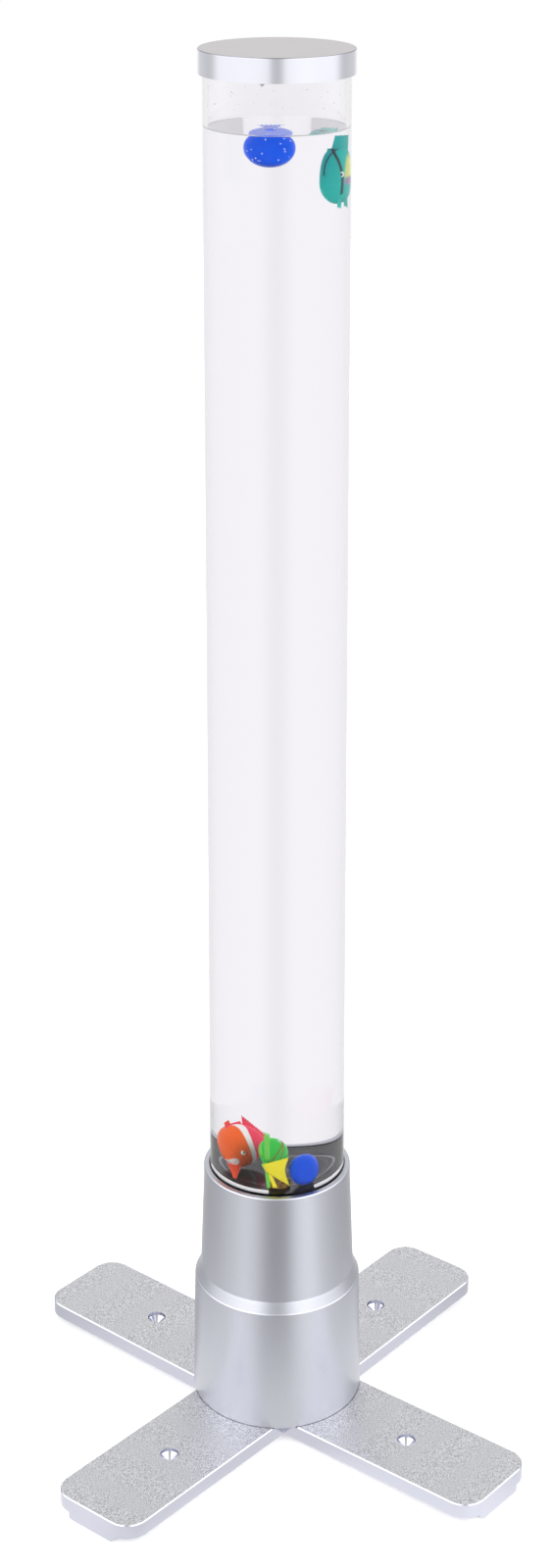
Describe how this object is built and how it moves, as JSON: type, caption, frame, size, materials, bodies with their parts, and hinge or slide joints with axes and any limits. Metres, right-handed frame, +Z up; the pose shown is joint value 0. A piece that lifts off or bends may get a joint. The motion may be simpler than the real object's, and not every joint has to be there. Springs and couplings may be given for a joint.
{
  "type": "bubble column floor lamp",
  "caption": "Tall clear water-filled tube with drifting plastic fish on a round silver housing and a cross of flat legs, with a lift-off cap, air pump and ring light inside.",
  "frame": {"origin": "on the floor under the middle of the tube", "axes": "+Z up along the tube, -Y the front, +Y the back with the button and power inlet, legs on the diagonals"},
  "size_m": [0.3026, 0.3026, 0.9295],
  "materials": {
    "silver_leg": "spark-textured silver top, satin sides",
    "silver_housing": "satin silver paint",
    "cap_silver": "satin pale silver",
    "liner_white": "smooth",
    "seal_grey": "soft",
    "acrylic_clear": "polished clear acrylic",
    "disc_dark": "turned and polished",
    "water_clear": "clear water",
    "stone_gold": "sintered grains",
    "plastic_white": "smooth",
    "plastic_grey": "moulded",
    "button_silver": "satin silver",
    "steel": "zinc plated",
    "board_green": "solder mask",
    "board_white": "solder mask",
    "led_white": "moulded lenses",
    "wire_red": "insulated wire",
    "fish_blue": "painted",
    "fish_teal": "painted",
    "fish_orange": "painted",
    "fish_green": "painted"
  },
  "bodies": {
    "tower": {"leg_front_left": "silver_leg", "leg_front_right": "silver_leg", "leg_back_left": "silver_leg", "leg_back_right": "silver_leg", "leg_screws": "steel", "base_plate": "steel", "base_plate_screws": "steel", "housing": "silver_housing", "tube_gasket": "seal_grey", "clear_tube": "acrylic_clear", "tube_base_disc": "disc_dark", "air_inlet": "plastic_white", "air_stone": "stone_gold", "water": "water_clear", "led_board": "board_white", "leds": "led_white", "pump_feet": "seal_grey", "air_pump": "plastic_grey", "check_valve": "plastic_white", "air_hose": "plastic_white", "control_board": "board_green", "power_inlet": "plastic_grey", "button_switch": "plastic_grey", "wiring": "wire_red"},
    "cap": {"cap_shell": "cap_silver", "cap_liner": "liner_white", "cap_seal": "seal_grey"},
    "button": {"power_button": "button_silver"},
    "fish_blue_floating": {"fish_blue_floating": "fish_blue"},
    "fish_teal_floating": {"fish_teal_floating": "fish_teal"},
    "fish_orange_sunk": {"fish_orange_sunk": "fish_orange"},
    "fish_green_sunk": {"fish_green_sunk": "fish_green"},
    "fish_blue_sunk": {"fish_blue_sunk": "fish_blue"}
  },
  "joints": [
    {"name": "cap_lift", "type": "slide", "parent": "tower", "child": "cap", "axis": [0, 0, 1], "range_m": [0, 0.12]},
    {"name": "power_button_press", "type": "slide", "parent": "tower", "child": "button", "axis": [0, -1, 0], "range_m": [0, 0.0012], "stiffness_N_per_m": 900},
    {"name": "blue_floating_drift", "type": "slide", "parent": "tower", "child": "fish_blue_floating", "axis": [0, 0, 1], "range_m": [-0.3, 0], "stiffness_N_per_m": 0.1, "springref_m": 1, "deforming": ["water"]},
    {"name": "teal_floating_drift", "type": "slide", "parent": "tower", "child": "fish_teal_floating", "axis": [0, 0, 1], "range_m": [-0.3, 0], "stiffness_N_per_m": 0.1, "springref_m": 1, "deforming": ["water"]},
    {"name": "orange_sunk_drift", "type": "slide", "parent": "tower", "child": "fish_orange_sunk", "axis": [0, 0, 1], "range_m": [0, 0.3], "deforming": ["water"]},
    {"name": "green_sunk_drift", "type": "slide", "parent": "tower", "child": "fish_green_sunk", "axis": [0, 0, 1], "range_m": [0, 0.3], "deforming": ["water"]},
    {"name": "blue_sunk_drift", "type": "slide", "parent": "tower", "child": "fish_blue_sunk", "axis": [0, 0, 1], "range_m": [0, 0.3], "deforming": ["water"]}
  ]
}
